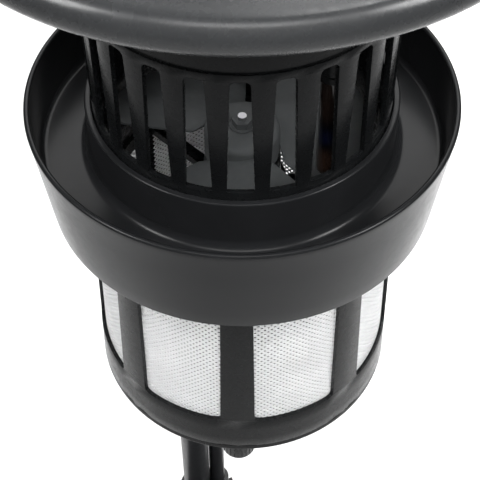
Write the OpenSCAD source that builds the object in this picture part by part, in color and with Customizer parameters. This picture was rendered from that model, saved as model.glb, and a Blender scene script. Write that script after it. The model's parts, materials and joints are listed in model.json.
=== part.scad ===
// Fan-type ultraviolet insect trap on a pole stand.
// Millimetres, +Z up. The origin is on the ground, on the axis of the trap head.
// A height whose name ends in _h is measured from the collar's rim plane.

/* [Lid] */
// Diameter of the rain lid
lid_d = 360; // [357:1:362]
// Height of the lid edge's centre above the collar rim
lid_edge_h = 192.5; // [190:0.5:195]
// Radius of the rounded lid edge
lid_edge_r = 11; // [9:1:12]
// Rise of the domed top
lid_rise = 17; // [14:1:20]

/* [Entry cage] */
// Outer diameter of the slotted cage
cage_d = 196; // [195:0.5:196.5]
// Number of slots
slot_count = 24; // [20:2:24]
// Slot width at its foot
slot_foot_w = 17; // [15:0.5:18]
// Slot width at its head
slot_head_w = 12; // [10:0.5:13]

/* [Collar] */
// Outer diameter of the rim
rim_d = 284.4; // [282:0.2:286]
// Outer diameter of the skirt's lower edge
skirt_d = 268; // [266:1:270]
// Height of the rim plane above the ground
rim_z = 890; // [880:5:910]

/* [Basket] */
// Outer diameter at the top of the basket
basket_top_d = 217; // [216:0.5:218]
// Outer diameter at the bottom of the basket
basket_foot_d = 230; // [229:0.5:231]
// Number of mesh windows
window_count = 8; // [6:2:8]
// Width of one window
window_w = 63; // [56:1:64]

/* [Stand] */
// Distance from the trap's axis to the pole
pole_reach = 152; // [151:0.5:153]
// Diameter of the pole
pole_d = 32; // [31:0.5:33]
// Diameter of the cable conduit
conduit_d = 19; // [18:0.5:19]
// Diameter of the base plate
base_d = 356; // [355:1:358]

/* [Hidden] */
$fn = 96;
lid_r = lid_d / 2;
cage_r = cage_d / 2;
rim_r = rim_d / 2;
skirt_r = skirt_d / 2;
wall = 3;

// Lid and head
lid_wall = 3;
lid_rim_r = lid_r - lid_edge_r;
pan_h = lid_edge_h - lid_edge_r;
pan_t = 2.5;
pan_hole_r = 84;
drum_r = cage_r - 1.4;
drum_wall = 2.6;
cage_top_h = 103.6;
deck_t = 3;
drum_flange_w = 14;
lid_top_h = lid_edge_h + lid_edge_r * 0.98 + lid_rise;
lid_screw_r = 90;
lid_screw_count = 6;
ear_x = 34;
ear_t = 5;
bail_rod_r = 2.5;
bail_reach = 46;
bail_bend = 12;
bail_droop = 7;
pivot_h = lid_top_h + 8;

trunnion_r = 1.2;
rocker_tilt = 10;

// Lamps: two tubes on a diagonal, close behind the cage
lamp_r = 7.8;
lamp_x = 53;
lamp_y = -62;
lamp_tip_h = -8;
lamp_neck_h = 74;
socket_r = 13;
socket_bore_r = 10.2;
lamp_base_r = 10;
socket_drop = 22;
lamp_places = [[lamp_x, lamp_y], [-lamp_x, -lamp_y]];

// Cage
cage_wall = 3.2;
cage_foot_h = -36.6;
slot_foot_h = 11.5;
slot_head_h = 98.7;
slot_round = 3.5;
cage_turn = -0.6;
deck_screw_r = 90.4;
deck_screw_count = 4;
deck_screw_turn = cage_turn + 0.5 * 360 / slot_count;

// Collar
floor_h = -33.6;
skirt_h = -73.5;
rim_top_h = 5.4;
neck_r = 102.9;
neck_bore_r = 98.4;
neck_top_h = 6;
floor_fillet = 7;
corner_fillet = 4;

// Fan housing
flange_r = 129;
flange_t = 3.4;
flange_top_h = floor_h - wall;
housing_r = 99.5;
housing_bore_r = 96;
housing_foot_h = -98;
lug_r = 103.6;
lug_t = 4;
lug_top_h = -90;
lug_arc = 24;
lug_count = 3;
flange_screw_r = 114;
flange_screw_count = 6;

// Fan and motor
fan_tip_r = 91;
fan_hub_r = 26;
fan_mid_h = -40;
blade_count = 3;
blade_pitch = 16;
blade_chord = 130;
blade_t = 2.2;
blade_turn = 15;
shaft_r = 3;
motor_r = 27;
motor_top_h = -56;
motor_foot_h = -94;
spider_arm_w = 9;
spider_arm_t = 6;
spider_h = -96;
spider_turn = 15;

// Basket
basket_top_h = -70;
basket_foot_h = -261;
door_seam_h = -255.6;
basket_wall = 3;
basket_turn = -2.3;
window_foot_h = -222.6;
window_head_h = -104;
window_round = 4;
mesh_t = 0.8;
lip_r = 100.4;
lip_t = 4;
lip_h = lug_top_h + 0.05;
twist_free = 26;
door_plug_h = 8;
hinge_y = 120;
hinge_h = basket_foot_h + 4.5;
hinge_pin_r = 1.6;
knuckle_r = 4.2;
knob_r = 13.4;
knob_y = -97.6;
knob_foot_h = -284;
latch_shaft_r = 3.5;
pawl_l = 15.2;
pawl_lift = 3.5;
catch_r = 113.4;
plug_gap_w = 44;

// Stand
stand_turn = 22.9;
pole_wall = 2;
socket_wall = 5;
conduit_gap = 1.6;
conduit_x = (pole_d + conduit_d) / 2 + conduit_gap;
conduit_wall = 1.5;
fit_gap = 0.15;
arm_w = 50;
arm_top_h = -78;
arm_foot_h = -96;
riser_y = 114.5;
riser_t = 13;
bracket_foot_h = -146;
pole_top_z = rim_z - 90;
clamp_h = -124;
stud_r = 4;
clamp_knob_r = 17;
plate_t = 18;
plate_edge_r = 4;
foot_pad_t = 4;
foot_pad_r = 13;
base_r = base_d / 2;
socket_top_z = 96;
plate_z = foot_pad_t;
plate_top_z = plate_z + plate_t;
clip_z = [330, 560];
weight_r = 110;
peg_r = 4.5;
peg_pcd = 300;
peg_count = 4;
pad_r = 31;
pad_in = 16;
inlet_at = [conduit_x + conduit_d / 2 + socket_wall - 2, pole_reach - 12, plate_top_z + 8];
socket_screws = [[-20, pole_reach - 30], [20, pole_reach - 32]];

// Points of an arc from angle a0 to a1
function arc(cx, cy, r, a0, a1, n = 8) =
  [for (i = [0:n]) let (a = a0 + (a1 - a0) * i / n) [cx + r * cos(a), cy + r * sin(a)]];

// Radius of the collar's outer face at a height below the rim
function skirt_at(h) = skirt_r + (rim_r - 0.6 - skirt_r) * (h - skirt_h) / (0 - skirt_h);

// Outer radius of the basket at a height
function basket_at(h) = basket_top_d / 2
  + (basket_foot_d - basket_top_d) / 2 * (basket_top_h - h) / (basket_top_h - basket_foot_h);

module at_rim(h = 0) translate([0, 0, rim_z + h]) children();

module ring(r_out, r_in, z0, z1) {
  translate([0, 0, z0])
    difference() {
      cylinder(r = r_out, h = z1 - z0);
      translate([0, 0, -1]) cylinder(r = r_in, h = z1 - z0 + 2);
    }
}

module around(count, turn = 0) {
  for (i = [0:count - 1]) rotate([0, 0, turn + i * 360 / count]) children();
}

// Pan-head screw, head up, shank down from the origin
module pan_screw(head_r, head_t, shank_r, shank_l) {
  cylinder(r = head_r, h = head_t, $fn = 32);
  translate([0, 0, -shank_l]) cylinder(r = shank_r, h = shank_l + 0.5, $fn = 32);
}

// ---------- lid ----------

function dome_r() = (pow(lid_rim_r, 2) + pow(lid_rise, 2)) / (2 * lid_rise);

function dome_path(shrink) =
  [for (i = [0:10]) let (a = asin(lid_rim_r / dome_r()) * i / 10)
    [(dome_r() - shrink) * sin(a),
     lid_top_h - dome_r() + (dome_r() - shrink) * cos(a)]];

module lid() color([0.22, 0.23, 0.24]) at_rim() {
  edge_tilt = asin(lid_rim_r / dome_r());
  inner_r = lid_edge_r - lid_wall;
  difference() {
    union() {
      rotate_extrude($fn = 144)
        polygon(concat(
          dome_path(0),
          arc(lid_rim_r, lid_edge_h, lid_edge_r, 90 - edge_tilt, -90, 12),
          [[lid_rim_r - 3, pan_h]],
          [[lid_rim_r - 3, pan_h + lid_wall]],
          arc(lid_rim_r, lid_edge_h, inner_r, -90, 90 - edge_tilt, 12),
          [for (i = [10:-1:0]) dome_path(lid_wall)[i]]
        ));
      around(lid_screw_count)
        translate([lid_screw_r, 0, pan_h + pan_t]) cylinder(r = 4.6, h = lid_top_h - pan_h - pan_t - 7, $fn = 32);
    }
    around(lid_screw_count)
      translate([lid_screw_r, 0, pan_h]) cylinder(r = 2.1, h = 12, $fn = 32);
    for (s = [-1, 1])
      translate([s * ear_x, 0, lid_top_h - 30]) cylinder(r = 2.6, h = 60, $fn = 32);
  }
}

module lid_underpan() color([0.13, 0.14, 0.15]) at_rim() difference() {
  union() {
    ring(lid_rim_r - 3.2, pan_hole_r, pan_h, pan_h + pan_t);
    ring(pan_hole_r + 1.2, pan_hole_r, pan_h, pan_h + 7);
    around(12, 15) translate([112, -1, pan_h + pan_t - 0.01]) cube([48, 2, 3]);
  }
  around(lid_screw_count)
    translate([lid_screw_r, 0, pan_h - 1]) cylinder(r = 2.2, h = 9, $fn = 32);
}

module lid_screws() color([0.7, 0.7, 0.72]) at_rim()
  around(lid_screw_count)
    translate([lid_screw_r, 0, pan_h - drum_wall]) rotate([180, 0, 0]) pan_screw(4, 2.4, 2.1, 8);

module bail_ears() color([0.6, 0.61, 0.63]) at_rim()
  for (s = [-1, 1]) translate([s * ear_x, 0, 0]) {
    difference() {
      union() {
        translate([-ear_t / 2, -7, lid_top_h - 0.3]) cube([ear_t, 14, pivot_h - lid_top_h + 0.3]);
        translate([-ear_t / 2, 0, pivot_h]) rotate([0, 90, 0]) cylinder(r = 7, h = ear_t);
        translate([0, 0, lid_top_h - 0.3]) cylinder(r = 9, h = 2.1);
      }
      translate([-ear_t, 0, pivot_h]) rotate([0, 90, 0]) cylinder(r = bail_rod_r + 0.08, h = ear_t * 2);
    }
    translate([0, 0, lid_top_h - 9]) cylinder(r = 2.5, h = 9, $fn = 32);
    translate([0, 0, lid_top_h - 11]) cylinder(r = 5, h = 4, $fn = 6);
  }

// Wire bail lying on the lid towards the rear
module hanging_bail() color([0.72, 0.73, 0.75]) at_rim() translate([0, 0, pivot_h]) rotate([-bail_droop, 0, 0]) {
  for (s = [-1, 1]) {
    translate([s * (ear_x - 7), 0, 0]) rotate([0, s * 90, 0]) cylinder(r = bail_rod_r, h = 14, $fn = 32);
    translate([s * (ear_x - 7), 0, 0]) sphere(r = bail_rod_r, $fn = 32);
    translate([s * (ear_x - 7), 0, 0]) rotate([-90, 0, 0]) cylinder(r = bail_rod_r, h = bail_reach, $fn = 32);
    translate([s * (ear_x - 7 - bail_bend), bail_reach, 0])
      rotate([0, 0, s > 0 ? 0 : 90]) rotate_extrude(angle = 90, $fn = 48)
        translate([bail_bend, 0]) circle(r = bail_rod_r, $fn = 32);
  }
  translate([-(ear_x - 7 - bail_bend), bail_reach + bail_bend, 0])
    rotate([0, 90, 0]) cylinder(r = bail_rod_r, h = 2 * (ear_x - 7 - bail_bend), $fn = 32);
}

// ---------- head ----------

module head_drum() color([0.13, 0.14, 0.15]) at_rim() difference() {
  union() {
    ring(drum_r, drum_r - drum_wall, cage_top_h, pan_h);
    translate([0, 0, cage_top_h]) cylinder(r = drum_r - 0.5, h = deck_t);
    ring(drum_r - 0.5, drum_r - drum_flange_w, pan_h - drum_wall, pan_h);
  }
  for (p = lamp_places)
    translate([p[0], p[1], cage_top_h - 1]) cylinder(r = 3, h = deck_t + 2, $fn = 32);
  translate([0, 0, cage_top_h - 1]) cylinder(r = 6, h = deck_t + 2, $fn = 32);
  around(deck_screw_count, deck_screw_turn)
    translate([deck_screw_r, 0, cage_top_h - 1]) cylinder(r = 1.8, h = deck_t + 2, $fn = 32);
  around(lid_screw_count)
    translate([lid_screw_r, 0, pan_h - drum_wall - 1]) cylinder(r = 2.3, h = drum_wall + 2, $fn = 32);
  translate([-14.5, drum_r - 12, pan_h - 46]) cube([29, 20, 24]);
  translate([-16.6, drum_r - 0.9, pan_h - 48.1]) cube([33.2, 5, 28.2]);
}

module lamp_driver() color([0.75, 0.75, 0.73]) at_rim(cage_top_h + deck_t) {
  difference() {
    translate([-45, -22, 0]) cube([90, 44, 30]);
    for (s = [-1, 1]) translate([s * 40, 0, -1]) cylinder(r = 2, h = 12, $fn = 32);
  }
  for (s = [-1, 1]) translate([s * 20 - 8, 21.9, 6]) cube([16, 8, 12]);
}

module lamp_socket(p) color([0.85, 0.85, 0.82]) at_rim() translate([p[0], p[1], 0])
  difference() {
    translate([0, 0, cage_top_h - socket_drop]) cylinder(r = socket_r, h = socket_drop);
    translate([0, 0, cage_top_h - socket_drop - 1]) cylinder(r = socket_bore_r, h = socket_drop - 3);
  }

module lamp_socket_front() lamp_socket(lamp_places[0]);
module lamp_socket_rear() lamp_socket(lamp_places[1]);

module uv_lamp(p) color([0.16, 0.14, 0.3]) at_rim() translate([p[0], p[1], 0]) {
  translate([0, 0, lamp_tip_h + lamp_r]) cylinder(r = lamp_r, h = lamp_neck_h - lamp_tip_h - lamp_r);
  translate([0, 0, lamp_tip_h + lamp_r]) sphere(r = lamp_r);
}

module uv_lamp_front() uv_lamp(lamp_places[0]);
module uv_lamp_rear() uv_lamp(lamp_places[1]);

module lamp_base(p) color([0.8, 0.8, 0.78]) at_rim() translate([p[0], p[1], 0]) {
  translate([0, 0, lamp_neck_h]) cylinder(r = lamp_base_r, h = cage_top_h - 5 - lamp_neck_h);
  translate([0, 0, lamp_neck_h]) cylinder(r = lamp_base_r + 2, h = 5);
}

module lamp_base_front() lamp_base(lamp_places[0]);
module lamp_base_rear() lamp_base(lamp_places[1]);

module switch_housing() color([0.06, 0.06, 0.07]) at_rim() translate([0, drum_r, pan_h - 34])
  difference() {
    union() {
      translate([-14, -14, -11.5]) cube([28, 14, 23]);
      translate([-16.5, -0.9, -14]) cube([33, 3, 28]);
    }
    translate([-10.5, -8, -8.5]) cube([21, 20, 17]);
    translate([-12.6, -3, 0]) rotate([0, 90, 0]) cylinder(r = trunnion_r + 0.06, h = 25.2, $fn = 48);
  }

// Rocker key: dished between its two raised ends, turning on two trunnions
module switch_rocker() color([0.5, 0.08, 0.06]) at_rim() translate([0, drum_r - 3, pan_h - 34])
  rotate([rocker_tilt, 0, 0]) {
    rotate([90, 0, 90]) translate([0, 0, -10])
      linear_extrude(height = 20)
        polygon([[-2.5, -3.5], [-2.5, 3.5], [3, 6.8], [5.6, 6.8], [4.4, 0], [5.6, -6.8], [3, -6.8]]);
    translate([-12.3, 0, 0]) rotate([0, 90, 0]) cylinder(r = trunnion_r, h = 24.6, $fn = 48);
  }

// ---------- cage, collar and fan housing ----------

// Tapered slot outline: square foot, rounded head
module slot_outline() {
  head_x = slot_head_w / 2;
  polygon(concat(
    [[-slot_foot_w / 2, slot_foot_h], [slot_foot_w / 2, slot_foot_h]],
    arc(head_x - slot_round, slot_head_h - slot_round, slot_round, 0, 90, 6),
    arc(-head_x + slot_round, slot_head_h - slot_round, slot_round, 90, 180, 6)
  ));
}

module entry_cage() color([0.12, 0.13, 0.14]) at_rim() difference() {
  union() {
    difference() {
      ring(cage_r, cage_r - cage_wall, cage_foot_h, cage_top_h);
      around(slot_count, cage_turn)
        translate([0, -cage_r + 20, 0]) rotate([90, 0, 0]) linear_extrude(height = 30) slot_outline();
    }
    around(deck_screw_count, deck_screw_turn)
      translate([deck_screw_r, 0, cage_top_h - 18]) cylinder(r = 5, h = 17.6, $fn = 32);
  }
  around(deck_screw_count, deck_screw_turn)
    translate([deck_screw_r, 0, cage_top_h - 10]) cylinder(r = 1.7, h = 11, $fn = 32);
}

module deck_screws() color([0.7, 0.7, 0.72]) at_rim(cage_top_h + deck_t)
  around(deck_screw_count, deck_screw_turn)
    translate([deck_screw_r, 0, 0]) pan_screw(3.4, 2.2, 1.7, 10);

module collar() color([0.1, 0.11, 0.12]) at_rim() {
  inner_at_floor = skirt_at(floor_h) - wall;
  lip = wall / 2 + 0.4;
  difference() {
    rotate_extrude($fn = 144)
      polygon(concat(
        [[skirt_r - wall, skirt_h], [skirt_r - 0.6, skirt_h], [skirt_r, skirt_h + 0.8]],
        [[skirt_at(0), 0]],
        arc(rim_r - lip, rim_top_h - lip, lip, 0, 180, 8),
        [[skirt_at(0) - wall, 0]],
        arc(inner_at_floor - corner_fillet, floor_h + corner_fillet, corner_fillet, 0, -90, 5),
        arc(neck_r + floor_fillet, floor_h + floor_fillet, floor_fillet, -90, -180, 6),
        arc(neck_r - 1.4, neck_top_h - 1.4, 1.4, 0, 90, 4),
        arc(neck_bore_r + 1, neck_top_h - 1, 1, 90, 180, 4),
        [[neck_bore_r, floor_h - wall], [inner_at_floor - wall, floor_h - wall]],
        [[skirt_at(floor_h - 3 * wall) - wall, floor_h - 3 * wall]]
      ));
    around(flange_screw_count, 30)
      translate([flange_screw_r, 0, floor_h - wall - 1]) cylinder(r = 2, h = 3, $fn = 32);
  }
}

module lug_ring(r_out, r_in, z0, z1, span) {
  intersection() {
    ring(r_out, r_in, z0, z1);
    translate([0, 0, z0 - 1]) linear_extrude(height = z1 - z0 + 2)
      polygon([[0, 0], [200 * cos(span / 2), -200 * sin(span / 2)], [200 * cos(span / 2), 200 * sin(span / 2)]]);
  }
}

module fan_housing() color([0.11, 0.12, 0.13]) at_rim() difference() {
  union() {
    ring(flange_r, housing_bore_r, flange_top_h - flange_t, flange_top_h);
    ring(housing_r, housing_bore_r, housing_foot_h, flange_top_h);
    ring(housing_r - 1, housing_bore_r - 2.5, housing_foot_h, spider_h);
    around(lug_count, 90) lug_ring(lug_r, housing_r - 1, lug_top_h - lug_t, lug_top_h, lug_arc);
  }
  around(flange_screw_count, 30)
    translate([flange_screw_r, 0, flange_top_h - flange_t - 1]) cylinder(r = 2.2, h = flange_t + 2, $fn = 32);
  rotate([0, 0, stand_turn]) for (s = [-1, 1])
    translate([s * 16, riser_y + riser_t / 2, flange_top_h - flange_t - 1]) cylinder(r = 2.2, h = flange_t + 2, $fn = 32);
}

module housing_screws() color([0.7, 0.7, 0.72]) at_rim()
  around(flange_screw_count, 30)
    translate([flange_screw_r, 0, flange_top_h - flange_t]) rotate([180, 0, 0]) pan_screw(3.9, 2.4, 1.9, 5);

// ---------- fan ----------

module motor_spider() color([0.12, 0.13, 0.14]) at_rim() {
  difference() {
    union() {
      ring(motor_r + 4, motor_r, motor_foot_h, motor_foot_h + 16);
      translate([0, 0, spider_h]) cylinder(r = motor_r + 4, h = motor_foot_h - spider_h);
      ring(housing_bore_r - 0.1, housing_bore_r - 3, spider_h, spider_h + 10);
      around(3, spider_turn)
        translate([motor_r + 2, -spider_arm_w / 2, spider_h])
          cube([housing_bore_r - motor_r - 4, spider_arm_w, spider_arm_t]);
    }
    translate([0, 0, spider_h - 1]) cylinder(r = 9, h = 4);
  }
}

module fan_motor() color([0.55, 0.56, 0.58]) at_rim() difference() {
  translate([0, 0, motor_foot_h]) cylinder(r = motor_r - 0.1, h = motor_top_h - motor_foot_h - 4);
  translate([0, 0, motor_foot_h + 4]) cylinder(r = shaft_r + 0.05, h = 60);
}

module motor_end_cap() color([0.2, 0.21, 0.22]) at_rim() difference() {
  union() {
    translate([0, 0, motor_top_h - 4]) cylinder(r = motor_r - 1.2, h = 3);
    translate([0, 0, motor_top_h - 1.5]) cylinder(r = 9, h = 3);
  }
  translate([0, 0, motor_top_h - 5]) cylinder(r = shaft_r + 0.05, h = 10);
}

module motor_shaft() color([0.8, 0.8, 0.82]) at_rim()
  translate([0, 0, motor_foot_h + 6]) cylinder(r = shaft_r, h = fan_mid_h + 22 - motor_foot_h - 6);

module fan_rotor() color([0.23, 0.245, 0.25]) at_rim(fan_mid_h) difference() {
  union() {
    translate([0, 0, -11]) cylinder(r = fan_hub_r, h = 20);
    translate([0, 0, 9]) cylinder(r1 = fan_hub_r, r2 = fan_hub_r - 5, h = 4);
    intersection() {
      ring(fan_tip_r, fan_hub_r - 2, -22, 22);
      around(blade_count, blade_turn)
        rotate([blade_pitch, 0, 0]) translate([fan_hub_r - 4, -blade_chord / 2, -blade_t / 2])
          linear_extrude(height = blade_t)
            polygon([[0, 41], [0, 89], [14, 108], [34, 120], [76, 130], [76, 0], [34, 8], [14, 24]]);
    }
  }
  translate([0, 0, -12]) cylinder(r = shaft_r, h = 30);
  translate([0, 0, -12]) cylinder(r = fan_hub_r - 3, h = 9);
}

module hub_nut() color([0.7, 0.7, 0.72]) at_rim(fan_mid_h + 13) difference() {
  union() {
    cylinder(r = 7, h = 6, $fn = 6);
    cylinder(r = 8.5, h = 1.2);
  }
  translate([0, 0, -1]) cylinder(r = shaft_r, h = 10);
}

// ---------- basket ----------

module window_outline(w, r) {
  polygon(concat(
    arc(-w / 2 + r, window_foot_h + r, r, 180, 270, 5),
    arc(w / 2 - r, window_foot_h + r, r, -90, 0, 5),
    arc(w / 2 - r, window_head_h - r, r, 0, 90, 5),
    arc(-w / 2 + r, window_head_h - r, r, 90, 180, 5)
  ));
}

module windows(w, r) {
  around(window_count, basket_turn + 180 / window_count)
    translate([0, -80, 0]) rotate([90, 0, 0]) linear_extrude(height = 60) window_outline(w, r);
}

module basket_frame() color([0.1, 0.11, 0.12]) at_rim() {
  top_r = basket_top_d / 2;
  difference() {
    union() {
      difference() {
        rotate_extrude($fn = 144)
          polygon([
            [basket_at(door_seam_h) - basket_wall, door_seam_h],
            [basket_at(door_seam_h), door_seam_h],
            [top_r, basket_top_h],
            [top_r - basket_wall, basket_top_h]
          ]);
        windows(window_w, window_round);
      }
      ring(top_r - 1, lip_r, lip_h, lip_h + lip_t);
      hinge_knuckles([-15, 15], 9);
    }
    around(lug_count, 90 + twist_free) lug_ring(lug_r + 0.8, lip_r - 5, lip_h - 1, lip_h + lip_t + 1, lug_arc + 4);
    rotate([0, 0, basket_turn - 90])
      lug_ring(catch_r, catch_r - 6, door_seam_h + pawl_lift - 0.3, door_seam_h + pawl_lift + 2.9, 14);
    hinge_bore(0.06);
  }
}

// The eight mesh panels, each glued behind a window
module basket_mesh() color([0.82, 0.83, 0.84]) at_rim() {
  step = 360 / window_count;
  for (i = [0:window_count - 1])
    rotate([0, 0, basket_turn + step / 2 + i * step - 90]) intersection() {
      rotate_extrude($fn = 144)
        polygon([
          [basket_at(window_foot_h - 8) - basket_wall - mesh_t, window_foot_h - 8],
          [basket_at(window_foot_h - 8) - basket_wall, window_foot_h - 8],
          [basket_at(window_head_h + 6) - basket_wall, window_head_h + 6],
          [basket_at(window_head_h + 6) - basket_wall - mesh_t, window_head_h + 6]
        ]);
      translate([0, 0, window_foot_h - 20]) linear_extrude(height = 180)
        polygon([[0, 0], [200 * cos(20.2), -200 * sin(20.2)], [200 * cos(20.2), 200 * sin(20.2)]]);
    }
}

module hinge_knuckles(places, w) {
  rotate([0, 0, basket_turn]) for (x = places) {
    translate([x - w / 2, hinge_y, hinge_h]) rotate([0, 90, 0]) cylinder(r = knuckle_r, h = w, $fn = 48);
    if (w < 12)
      translate([x - w / 2, hinge_y - 8, hinge_h]) cube([w, 8, knuckle_r]);
    if (w < 12)
      translate([x - w / 2, hinge_y - 8, hinge_h]) cube([w, 4.6, 14]);
    if (w > 12)
      translate([x - w / 2, hinge_y - 10, hinge_h - knuckle_r]) cube([w, 10, knuckle_r]);
  }
}

module hinge_bore(clear) {
  rotate([0, 0, basket_turn])
    translate([-30, hinge_y, hinge_h]) rotate([0, 90, 0]) cylinder(r = hinge_pin_r + clear, h = 60, $fn = 32);
}

// Bottom cover: a round plate with a locating rim, hinged at the rear
module basket_door() color([0.1, 0.11, 0.12]) at_rim() {
  foot_r = basket_foot_d / 2;
  plug_r = basket_at(door_seam_h) - basket_wall - 0.5;
  difference() {
    union() {
      difference() {
        rotate_extrude($fn = 144)
          polygon(concat(
            [[0, basket_foot_h], [foot_r - 2, basket_foot_h]],
            arc(foot_r - 2, basket_foot_h + 2, 2, -90, 0, 4),
            [[foot_r - 0.3, door_seam_h - 0.15], [0, door_seam_h - 0.15]]
          ));
        rotate([0, 0, basket_turn]) for (x = [-15, 15])
          translate([x - 5.2, 108.5, basket_foot_h - 1]) cube([10.4, 10, 10]);
      }
      rotate([0, 0, basket_turn]) difference() {
        ring(plug_r, plug_r - 2.4, door_seam_h - 1, door_seam_h + door_plug_h);
        translate([-150, 92, basket_foot_h]) cube([300, 60, 30]);
        translate([-plug_gap_w / 2, -150, basket_foot_h]) cube([plug_gap_w, 60, 30]);
      }
      around(6, basket_turn + 30)
        translate([30, -1.5, door_seam_h - 1]) cube([54, 3, 4]);
      hinge_knuckles([0], 20);
    }
    hinge_bore(0.06);
    rotate([0, 0, basket_turn])
      translate([0, knob_y, basket_foot_h - 1]) cylinder(r = latch_shaft_r + 0.06, h = 12, $fn = 48);
  }
}

module door_hinge_pin() color([0.75, 0.75, 0.77]) at_rim() rotate([0, 0, basket_turn])
  translate([-20.5, hinge_y, hinge_h]) rotate([0, 90, 0]) cylinder(r = hinge_pin_r, h = 41, $fn = 32);

// Round latch knob below the cover, with its shaft through it
module latch_knob() color([0.09, 0.1, 0.11]) at_rim() rotate([0, 0, basket_turn]) translate([0, knob_y, 0]) {
  grip_h = basket_foot_h - 0.4 - knob_foot_h;
  translate([0, 0, knob_foot_h]) cylinder(r1 = knob_r - 1.5, r2 = knob_r, h = 1.5);
  translate([0, 0, knob_foot_h + 1.5]) cylinder(r = knob_r, h = grip_h - 5.5);
  translate([0, 0, knob_foot_h + grip_h - 4]) cylinder(r1 = knob_r, r2 = knob_r - 4, h = 4);
  translate([0, 0, basket_foot_h - 0.5]) cylinder(r = latch_shaft_r, h = 13.4, $fn = 48);
}

// Pawl on top of the shaft, lying along the wall while released
module latch_pawl() color([0.7, 0.7, 0.72]) at_rim() rotate([0, 0, basket_turn])
  translate([0, knob_y, door_seam_h + pawl_lift]) difference() {
    union() {
      translate([0, 0, 0.2 - pawl_lift]) cylinder(r = 6, h = 3.6 + pawl_lift);
      translate([-pawl_l, -3.5, 0]) cube([pawl_l, 7, 2.4]);
    }
    translate([0, 0, -6]) cylinder(r = latch_shaft_r, h = 14, $fn = 48);
  }

// ---------- stand ----------

module at_stand() rotate([0, 0, stand_turn]) children();

// Block that holds the pole and the conduit side by side
module twin_block(z0, z1, w) {
  at_stand() {
    translate([0, pole_reach, z0]) cylinder(r = pole_d / 2 + w, h = z1 - z0);
    translate([conduit_x, pole_reach, z0]) cylinder(r = conduit_d / 2 + w, h = z1 - z0);
    translate([0, pole_reach - conduit_d / 2 - w + 0.5, z0])
      cube([conduit_x, conduit_d + 2 * w - 1, z1 - z0]);
  }
}

module twin_bore(z0, z1, clear = 0) {
  at_stand() {
    translate([0, pole_reach, z0]) cylinder(r = pole_d / 2 + clear, h = z1 - z0);
    translate([conduit_x, pole_reach, z0]) cylinder(r = conduit_d / 2 + clear, h = z1 - z0);
  }
}

module pole_bracket() color([0.12, 0.13, 0.14]) difference() {
  union() {
    twin_block(rim_z + bracket_foot_h, rim_z + arm_top_h, socket_wall);
    at_stand() at_rim() {
      translate([-arm_w / 2, riser_y, arm_foot_h]) cube([arm_w, pole_reach - riser_y, arm_top_h - arm_foot_h]);
      intersection() {
        translate([-arm_w / 2, riser_y, arm_top_h - 1])
          cube([arm_w, riser_t + 8, flange_top_h - flange_t - arm_top_h + 1]);
        translate([0, 0, arm_top_h - 10]) cylinder(r = riser_y + riser_t, h = 60);
      }
      translate([-pole_d / 2 - socket_wall - 4, pole_reach, clamp_h]) rotate([0, 90, 0]) cylinder(r = 9, h = 12);
    }
  }
  twin_bore(rim_z + bracket_foot_h - 1, pole_top_z, fit_gap);
  at_stand() at_rim() {
    translate([-60, pole_reach, clamp_h]) rotate([0, 90, 0]) cylinder(r = stud_r + 0.06, h = 55, $fn = 48);
    for (s = [-1, 1])
      translate([s * 16, riser_y + riser_t / 2, arm_foot_h - 1]) {
        cylinder(r = 4.6, h = 30, $fn = 32);
        cylinder(r = 2.3, h = 80, $fn = 32);
      }
  }
}

module bracket_screws() color([0.7, 0.7, 0.72]) at_stand() at_rim() for (s = [-1, 1])
  translate([s * 16, riser_y + riser_t / 2, arm_foot_h + 29]) rotate([180, 0, 0])
    pan_screw(4.2, 4, 2.2, 30.3);

// Lobed hand knob on a stud that presses on the pole
module clamp_knob() color([0.08, 0.08, 0.09]) at_stand() at_rim()
  translate([-pole_d / 2 - 0.1, pole_reach, clamp_h]) rotate([0, -90, 0]) {
    cylinder(r = stud_r, h = 20, $fn = 48);
    translate([0, 0, socket_wall + 5]) cylinder(r = 8, h = 5);
    translate([0, 0, socket_wall + 9]) {
      cylinder(r = clamp_knob_r - 4, h = 14);
      around(6) translate([clamp_knob_r - 5, 0, 0]) cylinder(r = 5, h = 14, $fn = 32);
    }
  }

module pole() color([0.13, 0.14, 0.15]) at_stand() translate([0, pole_reach, plate_top_z])
  difference() {
    cylinder(r = pole_d / 2, h = pole_top_z - plate_top_z);
    translate([0, 0, -1]) cylinder(r = pole_d / 2 - pole_wall, h = pole_top_z - plate_top_z + 2);
  }

module cable_conduit() color([0.14, 0.15, 0.16]) at_stand() translate([conduit_x, pole_reach, plate_top_z])
  difference() {
    cylinder(r = conduit_d / 2, h = pole_top_z - plate_top_z);
    translate([0, 0, -1]) cylinder(r = conduit_d / 2 - conduit_wall, h = pole_top_z - plate_top_z + 2);
  }

module conduit_clips() color([0.09, 0.09, 0.1])
  for (z = clip_z) difference() {
    twin_block(z, z + 14, 2.4);
    twin_bore(z - 1, z + 15, fit_gap);
  }

module base_socket() color([0.12, 0.13, 0.14]) difference() {
  union() {
    twin_block(plate_top_z, socket_top_z, socket_wall);
    at_stand() translate([0, pole_reach - pad_in, plate_top_z]) cylinder(r = pad_r, h = 5);
    at_stand() translate([-6, pole_reach - 74, plate_top_z]) cube([12, 74, 5]);
    at_stand() translate([-4, 0, 0]) rotate([90, 0, 90]) linear_extrude(height = 8)
      polygon([[pole_reach - 70, plate_top_z + 4], [pole_reach - 10, plate_top_z + 4], [pole_reach - 10, plate_top_z + 60]]);
  }
  twin_bore(plate_top_z - 1, socket_top_z + 1, fit_gap);
  at_stand() translate(inlet_at) cube([12, 24, 24]);
  at_stand() for (p = socket_screws)
    translate([p[0], p[1], plate_top_z - 1]) cylinder(r = 2.8, h = 8, $fn = 32);
}

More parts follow.
